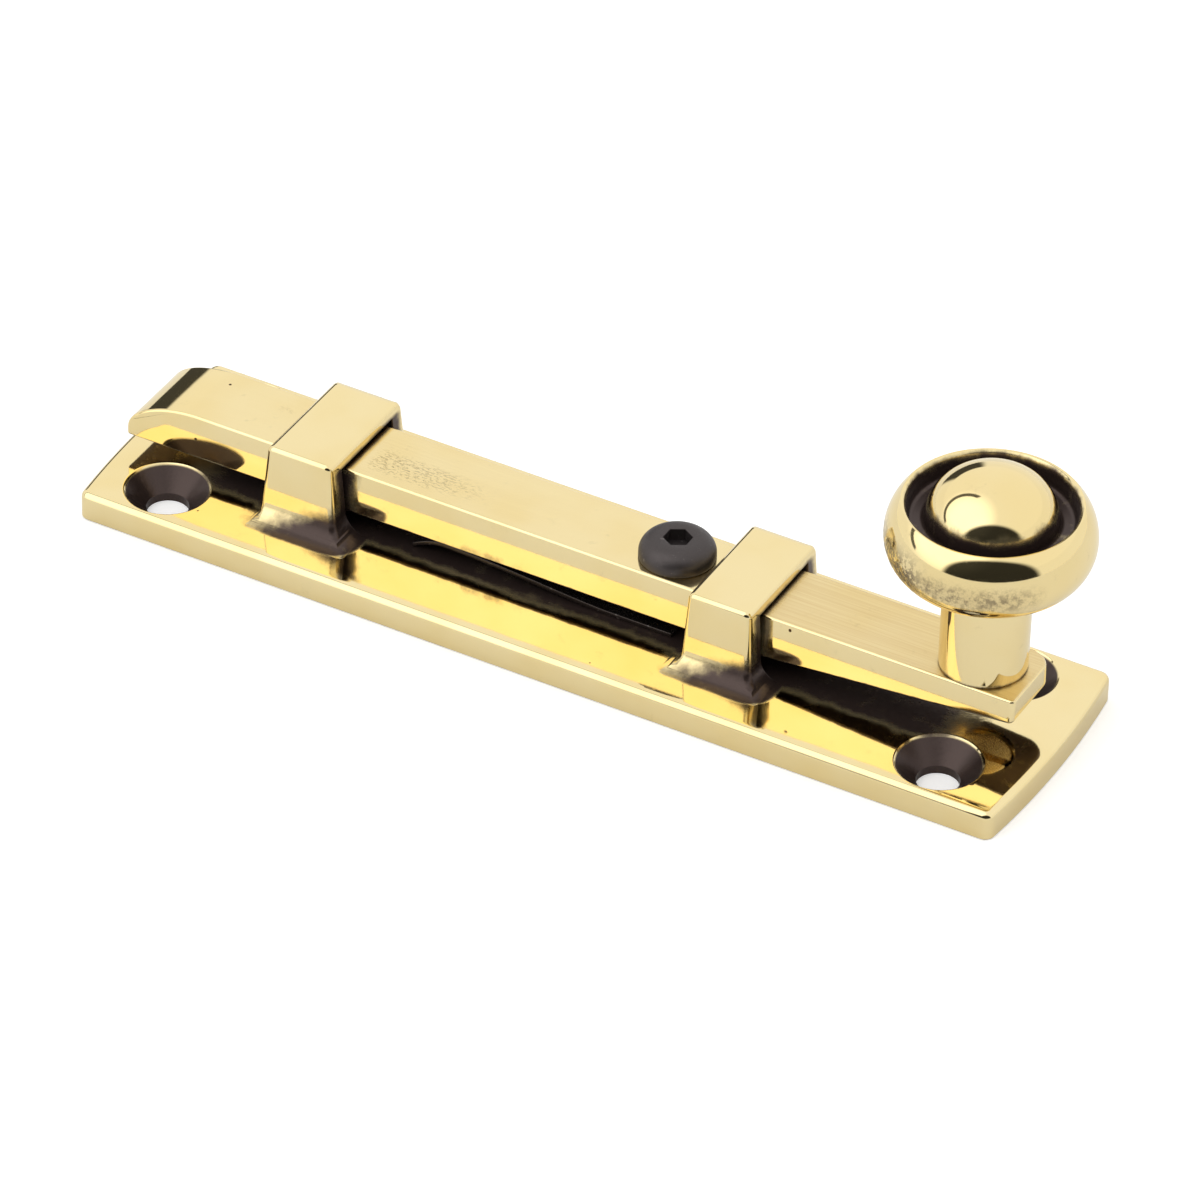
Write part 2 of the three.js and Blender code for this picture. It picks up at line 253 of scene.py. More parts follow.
def mixColours(tree, share, first, second):
    made = tree.nodes.new("ShaderNodeMix")
    made.data_type = "RGBA"
    fill(tree, made.inputs[0], share)
    fill(tree, made.inputs[6], first)
    fill(tree, made.inputs[7], second)
    return made.outputs[2]


def noise(tree, place, scale, detail=2.0, roughness=0.5):
    return addNode(tree, "ShaderNodeTexNoise", {
        "Vector": place, "Scale": scale, "Detail": detail, "Roughness": roughness,
    }).outputs[0]


def mapped(tree, place, scale=(1, 1, 1), location=(0, 0, 0), rotation=(0, 0, 0)):
    return addNode(tree, "ShaderNodeMapping", {
        "Vector": place, "Location": location, "Rotation": rotation, "Scale": scale,
    }).outputs[0]


def startGroup(name, inputs, outputs):
    group = bpy.data.node_groups.new(name, "ShaderNodeTree")
    for label, kind, value in inputs:
        socket = group.interface.new_socket(name=label, in_out="INPUT", socket_type=kind)
        if value is not None:
            socket.default_value = value
    for label in outputs:
        group.interface.new_socket(name=label, in_out="OUTPUT", socket_type="NodeSocketFloat")
    return group, group.nodes.new("NodeGroupInput").outputs, group.nodes.new("NodeGroupOutput")


def useGroup(tree, group, values):
    made = tree.nodes.new("ShaderNodeGroup")
    made.node_tree = group
    for name, value in values.items():
        fill(tree, made.inputs[name], value)
    return made.outputs


def startMaterial(name):
    # places are in millimetres, in the object's own frame
    material = bpy.data.materials.new(name)
    material.use_nodes = True
    tree = material.node_tree
    shader = tree.nodes["Principled BSDF"]
    inObject = tree.nodes.new("ShaderNodeTexCoord").outputs["Object"]
    place = mapped(tree, inObject, scale=(1 / mm,) * 3)
    return material, tree, shader, place


def axesOf(tree, place):
    parts = addNode(tree, "ShaderNodeSeparateXYZ", {"Vector": place})
    return parts.outputs[0], parts.outputs[1], parts.outputs[2]


# Effects that several finishes share

def makeHandPolish():
    # long shallow waves left by the mop, and hairline scratches
    inputs = [("Place", "NodeSocketVector", None)]
    group, given, result = startGroup("handPolish", inputs, ["Height", "Gloss"])
    waves = noise(group, given["Place"], 0.09, 1.0)
    ripples = noise(group, given["Place"], 0.35, 2.0)
    hairs = noise(group, mapped(group, given["Place"], scale=(0.7, 9, 9), rotation=(0, 0, 0.5)), 1.6, 3.0)
    height = sums(group, "MULTIPLY_ADD", waves, 1.0, sums(group, "MULTIPLY", ripples, 0.1))
    group.links.new(height, result.inputs["Height"])
    group.links.new(ramp(group, hairs, 0.45, 0.75), result.inputs["Gloss"])
    return group


def makeRaggedEdge():
    # breaks up the edge of a mask, as wax brushed into a corner and rubbed off leaves it; the painted shade
    # on the plate and bar is broken up the same way
    inputs = [
        ("Place", "NodeSocketVector", None),
        ("Amount", "NodeSocketFloat", 0.0),
        ("Scatter", "NodeSocketFloat", 0.35),
    ]
    group, given, result = startGroup("raggedEdge", inputs, ["Mask"])
    coarse = noise(group, given["Place"], 0.55, 3.0, 0.6)
    fine = noise(group, mapped(group, given["Place"], scale=(2.5, 1, 1)), 3.2, 4.0, 0.7)
    both = sums(group, "ADD", sums(group, "MULTIPLY", coarse, 0.82), sums(group, "MULTIPLY", fine, 0.18))
    wander = sums(group, "MULTIPLY", sums(group, "SUBTRACT", both, 0.5), given["Scatter"])
    moved = sums(group, "MULTIPLY_ADD", wander, 4.0, given["Amount"])
    group.links.new(ramp(group, moved, 0.15, 0.95), result.inputs["Mask"])
    return group


def makePits():
    # small scattered pinholes of a sand casting
    inputs = [
        ("Place", "NodeSocketVector", None),
        ("Spacing", "NodeSocketFloat", 3.0),
        ("Share", "NodeSocketFloat", 0.1),
        ("Width", "NodeSocketFloat", 0.05),
    ]
    group, given, result = startGroup("pits", inputs, ["Mask"])
    cells = addNode(group, "ShaderNodeTexVoronoi", {
        "Vector": given["Place"], "Scale": sums(group, "DIVIDE", 1.0, given["Spacing"]),
    })
    chance = addNode(group, "ShaderNodeSeparateColor", {"Color": cells.outputs["Color"]}).outputs[0]
    chosen = sums(group, "LESS_THAN", chance, given["Share"])
    growth = sums(group, "ADD", 0.4, sums(group, "DIVIDE", chance, given["Share"]))
    size = sums(group, "MULTIPLY", given["Width"], growth)
    reach = sums(group, "DIVIDE", size, given["Spacing"])
    inside = sums(group, "LESS_THAN", cells.outputs["Distance"], reach)
    group.links.new(sums(group, "MULTIPLY", chosen, inside), result.inputs["Mask"])
    return group


def makeBrushGrain():
    # fine straight lines along X
    inputs = [("Place", "NodeSocketVector", None)]
    group, given, result = startGroup("brushGrain", inputs, ["Height", "Tone"])
    fine = noise(group, mapped(group, given["Place"], scale=(0.12, 12, 12)), 1.0, 4.0, 0.65)
    broad = noise(group, mapped(group, given["Place"], scale=(0.05, 4, 4)), 1.0, 2.0)
    group.links.new(fine, result.inputs["Height"])
    tone = sums(group, "ADD", sums(group, "MULTIPLY", fine, 0.5), sums(group, "MULTIPLY", broad, 0.5))
    group.links.new(tone, result.inputs["Tone"])
    return group


handPolish = makeHandPolish()
raggedEdge = makeRaggedEdge()
pits = makePits()
brushGrain = makeBrushGrain()

brass = {
    "metal": (0.88, 0.73, 0.40, 1),
    "warm": (0.86, 0.69, 0.34, 1),
    # dark colour of the patina, and of the painted shade by the spring on the plate and bar
    "patinaAndShade": (0.066, 0.044, 0.038, 1),
    "pit": (0.10, 0.06, 0.03, 1),
    "gloss": 0.055,
    "patinaRoughness": 0.28,
    "satin": (0.62, 0.43, 0.19, 1),
    "satinRoughness": 0.24,
    "waveHeight": 0.035 * mm,
    "pitDepth": 0.05 * mm,
}


def finishBrass(tree, shader, place, patinaAndShade, satin, satinTone, pitMask):
    # patinaAndShade, satin and pitMask are masks; patinaAndShade is real patina and, on the plate and the
    # bar, also painted shade; satinTone darkens the satin where it is low
    polish = useGroup(tree, handPolish, {"Place": place})
    clouds = ramp(tree, noise(tree, place, 0.12, 2.0), 0.35, 0.75)
    tint = mixColours(tree, clouds, brass["metal"], brass["warm"])
    clean = mixColours(tree, sums(tree, "MULTIPLY", satin, satinTone), tint, brass["satin"])
    pitted = mixColours(tree, pitMask, clean, brass["pit"])
    tree.links.new(mixColours(tree, patinaAndShade, pitted, brass["patinaAndShade"]), shader.inputs["Base Color"])
    gloss = sums(tree, "MULTIPLY_ADD", polish["Gloss"], 0.03, brass["gloss"])
    rough = sums(tree, "MULTIPLY_ADD", satin, brass["satinRoughness"], gloss)
    full = sums(tree, "MULTIPLY_ADD", patinaAndShade, brass["patinaRoughness"] - brass["gloss"], rough)
    tree.links.new(sums(tree, "MULTIPLY_ADD", pitMask, 0.3, full), shader.inputs["Roughness"])
    tree.links.new(sums(tree, "MULTIPLY_ADD", patinaAndShade, -0.35, 1.0), shader.inputs["Metallic"])
    return polish


def addBump(tree, shader, height, distance, strength=1.0, before=None):
    values = {"Height": height, "Distance": distance, "Strength": strength}
    if before is not None:
        values["Normal"] = before
    return addNode(tree, "ShaderNodeBump", values).outputs["Normal"]


# Base plate: bowed ends, rolled edge, countersunk holes and two guides, all one casting

plate = {
    "thick": 3.1 * mm,
    "endBow": 0.8 * mm,
    "bowCuts": 23,
    "cornerRadius": 0.9 * mm,
    "edgeRound": 0.8 * mm,
    "footRound": 0.25,  # share of the edge round
    "noseHoleX": -43.05 * mm,
    "knobHoleX": 42.25 * mm,
    "holeY": 7.9 * mm,
    "bore": 4.25 * mm,
    "countersink": 8.5 * mm,
    "lip": 0.3 * mm,
    "rivetHole": 3.0 * mm,
    "tunnelWidth": 9.6 * mm,
    "tunnelTop": 10.15 * mm,
    "sideDraft": 0.3 * mm,
    "topHalfWidth": 6.9 * mm,
    "topRound": 1.6 * mm,  # along the far top edge; the other edges have a share of it
    "nearShare": 0.34,
    "leftShare": 0.45,
    "rightShare": 0.5,
    "cornerShare": 0.4,
    "mouthShare": 0.1,
    "fillet": 2.3 * mm,  # along the sides
    "filletSteps": 14,
    "filletEnd": 0.965,  # stops short of flat, so that it meets the plate
    "embed": 0.8 * mm,
}
guides = [
    {"name": "noseGuide", "x": -28.65 * mm, "length": 7.2 * mm, "draft": 0.55 * mm,
     "left": 0.8 * mm, "right": 2.3 * mm, "stain": 1.0},
    {"name": "knobGuide", "x": 17.75 * mm, "length": 6.8 * mm, "draft": 0.35 * mm,
     "left": 1.5 * mm, "right": 2.0 * mm, "stain": 0.5},
]


def makePlateBody():
    half = Vector((plateHigh.x, plateHigh.y, plate["thick"]))
    body = addBlock("basePlate", (-half.x, -half.y, 0), half)
    startEdit(body)
    isEnd = lambda point: near(abs(point.x), half.x)
    pick("EDGE", lambda edge: bothEnds(edge, isEnd) and near(edge.verts[0].co.z, edge.verts[1].co.z))
    bpy.ops.mesh.subdivide(number_cuts=plate["bowCuts"])
    columns = plate["bowCuts"] + 1
    for end in (-1, 1):
        for column in range(columns + 1):
            y = half.y * (2 * column / columns - 1)
            pick("VERT", lambda corner: near(corner.co.x, end * half.x) and near(corner.co.y, y))
            bpy.ops.transform.translate(value=(-end * plate["endBow"] * (y / half.y) ** 2, 0, 0))
    pick("EDGE", lambda edge: bothEnds(edge, lambda point: near(abs(point.y), half.y))
         and not near(edge.verts[0].co.z, edge.verts[1].co.z))
    bpy.ops.mesh.bevel(offset=plate["cornerRadius"], segments=6, affect="EDGES")
    isRim = lambda edge, sign: (any(sign * face.normal.z > 0.9 for face in edge.link_faces)
                                and any(abs(face.normal.z) < 0.1 for face in edge.link_faces))
    weighEdges(lambda edge: isRim(edge, 1), 1.0)
    weighEdges(lambda edge: isRim(edge, -1), plate["footRound"])
    endEdit()
    applyModifier(body, "BEVEL", width=plate["edgeRound"], segments=7, limit_method="WEIGHT",
                  use_clamp_overlap=False)
    return body


def filletReach(radius, up):
    # how far a foot fillet stands out at a height above the plate
    return radius * (1 - math.sqrt(1 - (1 - up / radius) ** 2)) if up < radius else 0.0


def makeGuide(guide):
    x, top = guide["x"], plateHigh.z
    footX = guide["length"] / 2 + guide["draft"]
    footY = plate["topHalfWidth"] + plate["sideDraft"]
    filletTop = plate["thick"] + plate["fillet"]
    block = addBlock(guide["name"], (x - footX, -footY, filletTop), (x + footX, footY, top))
    startEdit(block)
    pick("FACE", lambda face: face.normal.z > 0.9)
    narrowed = (guide["length"] / 2 / footX, plate["topHalfWidth"] / footY, 1)
    bpy.ops.transform.resize(value=narrowed, center_override=(x, 0, top))
    pick("FACE", lambda face: face.normal.z < -0.9)
    low, high, side, height = x - footX, x + footX, footY, filletTop
    for step in range(1, plate["filletSteps"] + 1):
        angle = math.pi / 2 * step / plate["filletSteps"] * plate["filletEnd"]
        up = plate["fillet"] * (1 - math.sin(angle))
        newLow = x - footX - filletReach(guide["left"], up)
        newHigh = x + footX + filletReach(guide["right"], up)
        newSide, newHeight = footY + filletReach(plate["fillet"], up), plate["thick"] + up
        shift = (newLow + newHigh - low - high) / 2
        move = {"value": (shift, 0, newHeight - height)}
        bpy.ops.mesh.extrude_region_move(TRANSFORM_OT_translate=move)
        wider = ((newHigh - newLow) / (high - low), newSide / side, 1)
        bpy.ops.transform.resize(value=wider, center_override=((newLow + newHigh) / 2, 0, newHeight))
        low, high, side, height = newLow, newHigh, newSide, newHeight
    bpy.ops.mesh.extrude_region_move(TRANSFORM_OT_translate={"value": (0, 0, -plate["embed"])})
    endEdit()
    reach, tunnelHalf = footX + plate["fillet"] + mm, plate["tunnelWidth"] / 2
    tunnel = addBlock("tunnel", (x - reach, -tunnelHalf, 0), (x + reach, tunnelHalf, plate["tunnelTop"]))
    combine(block, tunnel, "DIFFERENCE")
    startEdit(block)
    isCorner = lambda edge: (abs(edge.verts[0].co.z - edge.verts[1].co.z) > 0.001 * mm
                             and edge.calc_face_angle(0) > math.radians(60))
    inMouth = lambda point: (abs(point.y) < tunnelHalf + 0.01 * mm
                             and point.z < plate["tunnelTop"] + 0.01 * mm)
    weighEdges(isCorner, plate["cornerShare"])
    onTop = lambda edge: bothEnds(edge, lambda point: near(point.z, top))
    alongX = lambda edge: near(edge.verts[0].co.y, edge.verts[1].co.y)
    start = lambda edge: edge.verts[0].co
    weighEdges(lambda edge: onTop(edge) and alongX(edge) and start(edge).y > 0, 1.0)
    weighEdges(lambda edge: onTop(edge) and alongX(edge) and start(edge).y < 0, plate["nearShare"])
    weighEdges(lambda edge: onTop(edge) and not alongX(edge) and start(edge).x < x, plate["leftShare"])
    weighEdges(lambda edge: onTop(edge) and not alongX(edge) and start(edge).x > x, plate["rightShare"])
    weighEdges(lambda edge: bothEnds(edge, inMouth) and edge.calc_face_angle(0) > math.radians(50)
               and edge.is_convex, plate["mouthShare"])
    endEdit()
    applyModifier(block, "BEVEL", width=plate["topRound"], segments=6, limit_method="WEIGHT",
                  use_clamp_overlap=False)
    return block


def holeProfile():
    bore, wide, top, lip = plate["bore"] / 2, plate["countersink"] / 2, plate["thick"], plate["lip"]
    lipArc = arcPoints((wide + lip * 0.7, top - lip), (lip, lip), 135, 92, 6)
    coneTop = lipArc[0]
    coneFoot = (bore, coneTop[1] - (coneTop[0] - bore))
    return [(0, -mm), (bore, -mm), coneFoot, *lipArc, (lipArc[-1][0], top + mm), (0, top + mm)]


def makeBasePlate():
    body = makePlateBody()
    for guide in guides:
        combine(body, makeGuide(guide), "UNION")
    for x in (plate["noseHoleX"], plate["knobHoleX"]):
        for y in (-plate["holeY"], plate["holeY"]):
            combine(body, addTurned("hole", x, holeProfile(), 64, y), "DIFFERENCE")
    wide, top = plate["rivetHole"] / 2, plateHigh.z / 2
    rivetHole = [(0, -mm), (wide, -mm), (wide, top), (0, top)]
    combine(body, addTurned("rivetHole", rivetX, rivetHole, 32), "DIFFERENCE")
    body.name = body.data.name = "basePlate"
    finishPiece(body, "base_plate", makeCastBrass())


castStainAndShade = {
    # places and lengths in millimetres; a pair is where a fade starts and ends
    "lean": 0.4,  # rise of the stain towards the knob, per length
    "stands": 1.9,  # height of its edge at the middle of a guide
    "edgeFade": (-1.9, 1.5),
    "toe": (2.3, 3.1),
    "faceInset": 0.35,
    "faceFade": 0.5,
    "endSide": (5.2, 6.9),
    "endSideShare": 0.15,
    "endTop": (1.5, 0.5),  # below the top of the guide
    "endReach": (0.8, 2.6),
    "tunnelMargin": 0.05,
    "tunnelReach": (1.0, 4.0),
    "tunnelHigh": 10.3,
    "plateHigh": 0.2,  # what counts as the top of the plate
    "beneath": (4.5, 6.8),
    "beneathShare": 0.95,
    "beneathEnds": (38.0, 46.0),
    # painted shade and reflection of the leaf spring, darkening the plate top under and beside it
    "paintedShadeAt": (-3.0, 4.0),
    "paintedShadeSize": (8.0, 2.4),
    "paintedShadeFade": (0.5, 1.25),
    "paintedShadeShare": 0.8,
    "scatter": 0.22,
    "sink": (4.05, 4.25),
    "sinkLow": -0.05,
    "backFade": 0.12,
    "backShare": 0.75,
    "bump": 0.025 * mm,
}


def footStain(tree, place, guide):
    # stain round the feet, on the end faces and in the tunnel of one guide
    x, y, z = axesOf(tree, place)
    side = sums(tree, "ABSOLUTE", y)
    height = sums(tree, "SUBTRACT", z, plate["thick"] / mm)
    along = sums(tree, "SUBTRACT", x, guide["x"] / mm)
    half = guide["length"] / mm / 2
    fromMiddle = sums(tree, "ABSOLUTE", along)
    out = largest(tree, sums(tree, "SUBTRACT", fromMiddle, half + guide["draft"] / mm), 0.0)
    outSide = largest(tree, sums(tree, "SUBTRACT", side, plate["topHalfWidth"] / mm), 0.0)
    edge = sums(tree, "MULTIPLY_ADD", along, castStainAndShade["lean"], castStainAndShade["stands"])
    low = ramp(tree, sums(tree, "SUBTRACT", height, edge), *castStainAndShade["edgeFade"], 1.0, 0.0)
    foot = product(tree, low, ramp(tree, hypotenuse(tree, out, outSide), *castStainAndShade["toe"], 1.0, 0.0))
    toFace = sums(tree, "SUBTRACT", fromMiddle, half - castStainAndShade["faceInset"])
    face = ramp(tree, toFace, 0.0, castStainAndShade["faceFade"])
    inner = ramp(tree, side, *castStainAndShade["endSide"], 1.0, castStainAndShade["endSideShare"])
    fadeStart, fadeEnd = (plateHigh.z / mm - drop for drop in castStainAndShade["endTop"])
    below = ramp(tree, z, fadeStart, fadeEnd, 1.0, 0.0)
    reach = ramp(tree, out, *castStainAndShade["endReach"], 1.0, 0.0)
    end = product(tree, product(tree, face, inner), product(tree, below, reach))
    tunnelSide = plate["tunnelWidth"] / mm / 2 + castStainAndShade["tunnelMargin"]
    deep = ramp(tree, out, *castStainAndShade["tunnelReach"], 1.0, 0.0)
    under = product(tree, deep, sums(tree, "LESS_THAN", z, castStainAndShade["tunnelHigh"]))
    inTunnel = product(tree, sums(tree, "LESS_THAN", side, tunnelSide), under)
    return foot, end, inTunnel


def makeCastBrass():
    material, tree, shader, place = startMaterial("castBrass")
    x, y, z = axesOf(tree, place)
    side = sums(tree, "ABSOLUTE", y)
    height = sums(tree, "SUBTRACT", z, plate["thick"] / mm)
    amount = 0.0
    for guide in guides:
        amount = largest(tree, amount, *footStain(tree, place, guide))
    onPlate = sums(tree, "LESS_THAN", height, castStainAndShade["plateHigh"])
    beneath = product(tree, ramp(tree, side, *castStainAndShade["beneath"], castStainAndShade["beneathShare"], 0.0), onPlate)
    ends = ramp(tree, sums(tree, "ABSOLUTE", x), *castStainAndShade["beneathEnds"], 1.0, 0.0)
    amount = largest(tree, amount, product(tree, beneath, ends))
    # painted shade and reflection of the leaf spring on the plate top, added to the patina
    paintedShadeAway = ellipse(tree, (x, side), castStainAndShade["paintedShadeAt"], castStainAndShade["paintedShadeSize"])
    paintedShade = product(tree, ramp(tree, paintedShadeAway, *castStainAndShade["paintedShadeFade"], 1.0, 0.0), onPlate)
    amount = largest(tree, amount, product(tree, paintedShade, castStainAndShade["paintedShadeShare"]))
    raggedInputs = {"Place": place, "Amount": amount, "Scatter": castStainAndShade["scatter"]}
    ragged = useGroup(tree, raggedEdge, raggedInputs)["Mask"]
    middle = (plate["noseHoleX"] + plate["knobHoleX"]) / 2 / mm
    apart = (plate["knobHoleX"] - plate["noseHoleX"]) / 2 / mm
    holeX = sums(tree, "SUBTRACT", away(tree, x, middle), apart)
    holeY = sums(tree, "SUBTRACT", side, plate["holeY"] / mm)
    sunk = sums(tree, "LESS_THAN", height, castStainAndShade["sinkLow"])
    sink = product(tree, ramp(tree, hypotenuse(tree, holeX, holeY), *castStainAndShade["sink"], 1.0, 0.0), sunk)
    back = ramp(tree, z, 0.0, castStainAndShade["backFade"], castStainAndShade["backShare"], 0.0)
    patinaAndShade = largest(tree, ragged, sink, back)
    pitMask = useGroup(tree, pits, {"Place": place, "Spacing": 3.2, "Share": 0.07, "Width": 0.17})["Mask"]
    polish = finishBrass(tree, shader, place, patinaAndShade, 0.0, 0.0, pitMask)
    waves = addBump(tree, shader, polish["Height"], brass["waveHeight"])
    stain = noise(tree, place, 2.2, 4.0, 0.65)
    skin = addBump(tree, shader, product(tree, stain, patinaAndShade), castStainAndShade["bump"], before=waves)
    tree.links.new(addBump(tree, shader, pitMask, -brass["pitDepth"], before=skin), shader.inputs["Normal"])
    return material


# Sliding bar: rounded nose, thinned tail

bar = {
    "noseLength": 8.3 * mm,
    "noseFlat": 0.85 * mm,
    "tailStart": 21.15 * mm,
    "tailThick": 2.5 * mm,
    "tailCornerNear": 0.5 * mm,
    "tailCornerFar": 2.3 * mm,
    "edgeRound": 0.4 * mm,
    "stopHole": 4.6 * mm,
    "screwHeadHole": 7.2 * mm,
    "screwHole": 4.1 * mm,
    "crownStart": 0.45,  # share of the height at which the sides begin to lean in
    "crownInset": 0.3 * mm,
}


def makeBar():
    rise = barHigh.z - barLow.z - bar["noseFlat"]
    squeeze = rise / bar["noseLength"]  # the nose is rounded while squeezed, then stretched to an ellipse
    shortEnd = barLow.x + (barHigh.x - barLow.x) * squeeze
    body = addBlock("boltBar", barLow, (shortEnd, barHigh.y, barHigh.z))
    startEdit(body)
    atNose = lambda point: near(point.x, barLow.x) and near(point.z, barHigh.z)
    pick("EDGE", lambda edge: bothEnds(edge, atNose))
    bpy.ops.mesh.bevel(offset=rise, segments=32, affect="EDGES")
    bpy.ops.mesh.select_all(action="SELECT")
    bpy.ops.transform.resize(value=(1 / squeeze, 1, 1), center_override=(barLow.x, 0, 0))
    bpy.ops.mesh.select_all(action="SELECT")
    bpy.ops.mesh.bisect(plane_co=(bar["tailStart"], 0, 0), plane_no=(1, 0, 0))
    pick("VERT", lambda corner: near(corner.co.x, barHigh.x) and near(corner.co.z, barLow.z))
    thinning = barHigh.z - barLow.z - bar["tailThick"]
    bpy.ops.transform.translate(value=(0, 0, thinning))
    for side, radius in ((-1, bar["tailCornerNear"]), (1, bar["tailCornerFar"])):
        atCorner = lambda point: near(point.x, barHigh.x) and near(point.y, side * barHalf)
        pick("EDGE", lambda edge: bothEnds(edge, atCorner))
        bpy.ops.mesh.bevel(offset=radius, segments=8, affect="EDGES")
    crownLow = barLow.z + (barHigh.z - barLow.z) * bar["crownStart"]
    bpy.ops.mesh.select_all(action="SELECT")
    bpy.ops.mesh.bisect(plane_co=(0, 0, crownLow), plane_no=(0, 0, 1))
    corners = bmesh.from_edit_mesh(body.data).verts
    heights = {round(corner.co.z / mm, 3) * mm for corner in corners if corner.co.z > crownLow + 0.01 * mm}
    for height in sorted(heights):
        lean = bar["crownInset"] / barHalf * (height - crownLow) / (barHigh.z - crownLow)
        pick("VERT", lambda corner: abs(corner.co.z - height) < 0.001 * mm)
        bpy.ops.transform.resize(value=(1, 1 - lean, 1), center_override=(0, 0, height))
    endEdit()
    applyModifier(body, "BEVEL", width=bar["edgeRound"], segments=5, limit_method="ANGLE",
                  angle_limit=math.radians(40))
    over = mm
    stopHole = [(0, barLow.z - over), (bar["stopHole"] / 2, barLow.z - over),
                (bar["stopHole"] / 2, barHigh.z + over), (0, barHigh.z + over)]
    combine(body, addTurned("stopHole", stopX, stopHole, 48), "DIFFERENCE")
    head, shank = bar["screwHeadHole"] / 2, bar["screwHole"] / 2
    seat = knobScrewLow.z
    screwHole = [(0, barLow.z - over), (head, barLow.z - over), (head, seat), (shank, seat + head - shank),
                 (shank, barHigh.z + over), (0, barHigh.z + over)]
    combine(body, addTurned("screwHole", knobX, screwHole, 48), "DIFFERENCE")
    body.name = body.data.name = "boltBar"
    finishPiece(body, "bolt_bar", makeBarBrass())


barStainAndShade = {
    # places and lengths in millimetres; a pair is where a fade starts and ends
    "topEdge": (0.12, 0.02),  # below the top
    "brushed": (17.0, 23.0),
    "dullFade": (-24.0, 2.0),
    "dullShares": (0.25, 0.1),
    "noseFade": (-36.0, -25.0),
    "noseShares": (0.4, 1.0),
    "exitStart": 0.2,
    "exitReach": 1.0,
    "exitGrowth": 1.6,
    "exitSide": (4.1, 4.3),
    # painted reflection of the dark spring and plate below, on the bar's lower sides above the spring
    "paintedShadeAt": (-10.0, 5.0),
    "paintedShadeSize": (6.5, 1.6),
    "paintedShadeFade": (0.3, 1.2),
    "paintedShadeShare": 0.45,
    "underFade": (0.05, 0.4),
    "underShare": 0.97,
    "scatter": 0.36,
    "chatterStart": (-24.0, -22.5),
    "chatterEnd": (-19.0, -8.0),
    "chatterMiddle": -1.2,
    "chatterAcross": (0.6, 2.4),
    "chatterShare": 0.3,
    "grainHeight": 0.014 * mm,
}


def makeBarBrass():
    material, tree, shader, place = startMaterial("barBrass")
    x, y, z = axesOf(tree, place)
    side = sums(tree, "ABSOLUTE", y)
    onTop = ramp(tree, z, *(barHigh.z / mm - drop for drop in barStainAndShade["topEdge"]))
    grain = useGroup(tree, brushGrain, {"Place": place})
    dull = product(tree, ramp(tree, x, *barStainAndShade["dullFade"], *barStainAndShade["dullShares"]),
                   ramp(tree, x, *barStainAndShade["noseFade"], *barStainAndShade["noseShares"]))
    satin = product(tree, onTop, largest(tree, ramp(tree, x, *barStainAndShade["brushed"]), dull))
    amount = 0.0
    for guide in guides:
        fromExit = away(tree, x, (guide["x"] + guide["length"] / 2) / mm)
        reach = barStainAndShade["exitReach"] + barStainAndShade["exitGrowth"] * guide["stain"]
        leaving = ramp(tree, fromExit, barStainAndShade["exitStart"], reach, guide["stain"], 0.0)
        amount = largest(tree, amount, product(tree, leaving, ramp(tree, side, *barStainAndShade["exitSide"])))
    # painted reflection of the dark spring and plate below, on the bar's lower sides above the spring
    paintedShadeAway = ellipse(tree, (x, z), barStainAndShade["paintedShadeAt"], barStainAndShade["paintedShadeSize"])
    paintedShade = ramp(tree, paintedShadeAway, *barStainAndShade["paintedShadeFade"], 1.0, 0.0)
    paintedShade = product(tree, paintedShade, barStainAndShade["paintedShadeShare"])
    slope = (barHigh.z - barLow.z - bar["tailThick"]) / (barHigh.x - bar["tailStart"])
    tail = largest(tree, sums(tree, "SUBTRACT", x, bar["tailStart"] / mm), 0.0)
    raised = sums(tree, "SUBTRACT", sums(tree, "SUBTRACT", z, barLow.z / mm), product(tree, tail, slope))
    under = ramp(tree, raised, *barStainAndShade["underFade"], barStainAndShade["underShare"], 0.0)
    amount = largest(tree, amount, paintedShade, under)
    raggedInputs = {"Place": place, "Amount": amount, "Scatter": barStainAndShade["scatter"]}
    patinaAndShade = useGroup(tree, raggedEdge, raggedInputs)["Mask"]
    dashes = mapped(tree, place, scale=(1.1, 3.0, 1), rotation=(0, 0, 0.6))
    chatterAt = product(tree, ramp(tree, x, *barStainAndShade["chatterStart"]),
                        ramp(tree, x, *barStainAndShade["chatterEnd"], 1.0, 0.0))
    fromMiddle = away(tree, y, barStainAndShade["chatterMiddle"])
    across = ramp(tree, fromMiddle, *barStainAndShade["chatterAcross"], 1.0, 0.0)
    chatter = product(tree, ramp(tree, noise(tree, dashes, 1.8, 4.0, 0.7), 0.52, 0.62),
                      product(tree, chatterAt, across, onTop))
    specks = useGroup(tree, pits, {"Place": place, "Spacing": 3.0, "Share": 0.06, "Width": 0.16})["Mask"]
    pitMask = largest(tree, specks, product(tree, chatter, barStainAndShade["chatterShare"]))
    tone = ramp(tree, grain["Tone"], 0.3, 0.7, 0.2, 0.6)
    polish = finishBrass(tree, shader, place, patinaAndShade, satin, tone, pitMask)
    waves = addBump(tree, shader, polish["Height"], brass["waveHeight"])
    brushing = product(tree, grain["Height"], satin)
    lines = addBump(tree, shader, brushing, barStainAndShade["grainHeight"], before=waves)
    tree.links.new(addBump(tree, shader, pitMask, -brass["pitDepth"], before=lines), shader.inputs["Normal"])
    return material


# Knob: stem, ringed head and dome, turned in one piece

knob = {
    "stem": 8.6 * mm,
    "stemHeight": 10.8 * mm,
    "stemFillet": 0.2 * mm,
    "underRise": 4.1 * mm,
    "crownRise": 4.8 * mm,
    "curveWidth": 3.85 * mm,
    "rimWidth": 1.8 * mm,
    "grooveWidth": 1.95 * mm,
    "grooveDepth": 2.15 * mm,
    "bore": 4.1 * mm,
    "boreDepth": 6.5 * mm,
}


